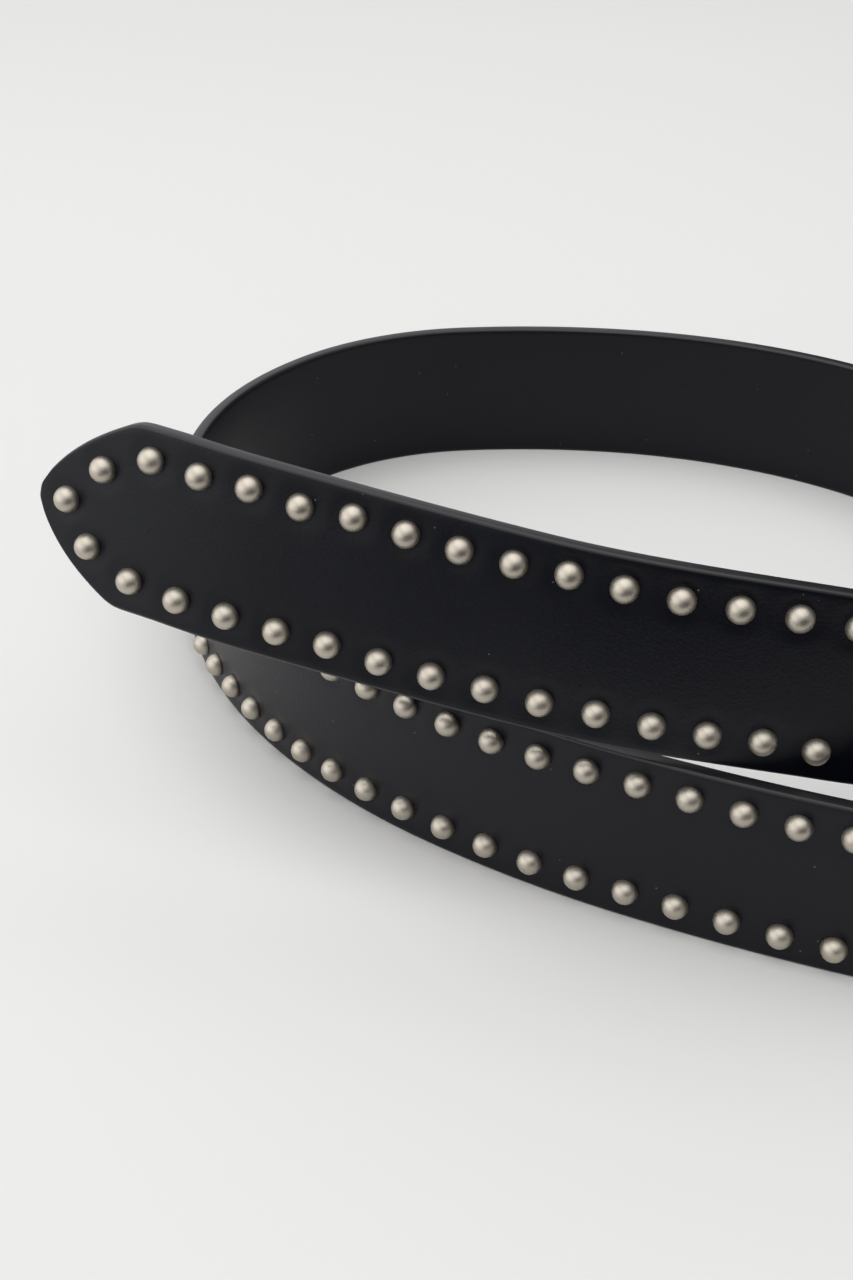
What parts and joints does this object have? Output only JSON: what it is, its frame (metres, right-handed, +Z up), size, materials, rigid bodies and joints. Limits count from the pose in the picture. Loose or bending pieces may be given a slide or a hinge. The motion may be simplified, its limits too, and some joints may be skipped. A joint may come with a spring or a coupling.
{
  "type": "studded belt",
  "caption": "Black leather belt with domed nickel studs along both edges, standing on edge in one loose coil, with a pointed tip and a plain open-frame buckle.",
  "frame": {"origin": "middle of the belt's outline seen from above, on the surface it stands on", "axes": "+X along the coil's longest side, from the pointed tip to the buckle, +Y to the back stretch, +Z up"},
  "size_m": [0.2708, 0.2442, 0.0907],
  "materials": {
    "black_leather": "smooth satin black, with painted edges",
    "satin_nickel": "satin warm grey nickel plate"
  },
  "bodies": {
    "root": {"strap": "black_leather", "stud_point": "satin_nickel", "stud_upper_01": "satin_nickel", "stud_upper_02": "satin_nickel", "stud_upper_03": "satin_nickel", "stud_upper_04": "satin_nickel", "stud_upper_05": "satin_nickel", "stud_upper_06": "satin_nickel", "stud_upper_07": "satin_nickel", "stud_upper_08": "satin_nickel", "stud_upper_09": "satin_nickel", "stud_upper_10": "satin_nickel", "stud_upper_11": "satin_nickel", "stud_upper_12": "satin_nickel", "stud_upper_13": "satin_nickel", "stud_upper_14": "satin_nickel", "stud_upper_15": "satin_nickel", "stud_lower_01": "satin_nickel", "stud_lower_02": "satin_nickel", "stud_lower_03": "satin_nickel", "stud_lower_04": "satin_nickel", "stud_lower_05": "satin_nickel", "stud_lower_06": "satin_nickel", "stud_lower_07": "satin_nickel", "stud_lower_08": "satin_nickel", "stud_lower_09": "satin_nickel", "stud_lower_10": "satin_nickel", "stud_lower_11": "satin_nickel", "stud_lower_12": "satin_nickel", "stud_lower_13": "satin_nickel", "stud_lower_14": "satin_nickel", "stud_lower_15": "satin_nickel", "buckle": "satin_nickel"}
  },
  "joints": []
}
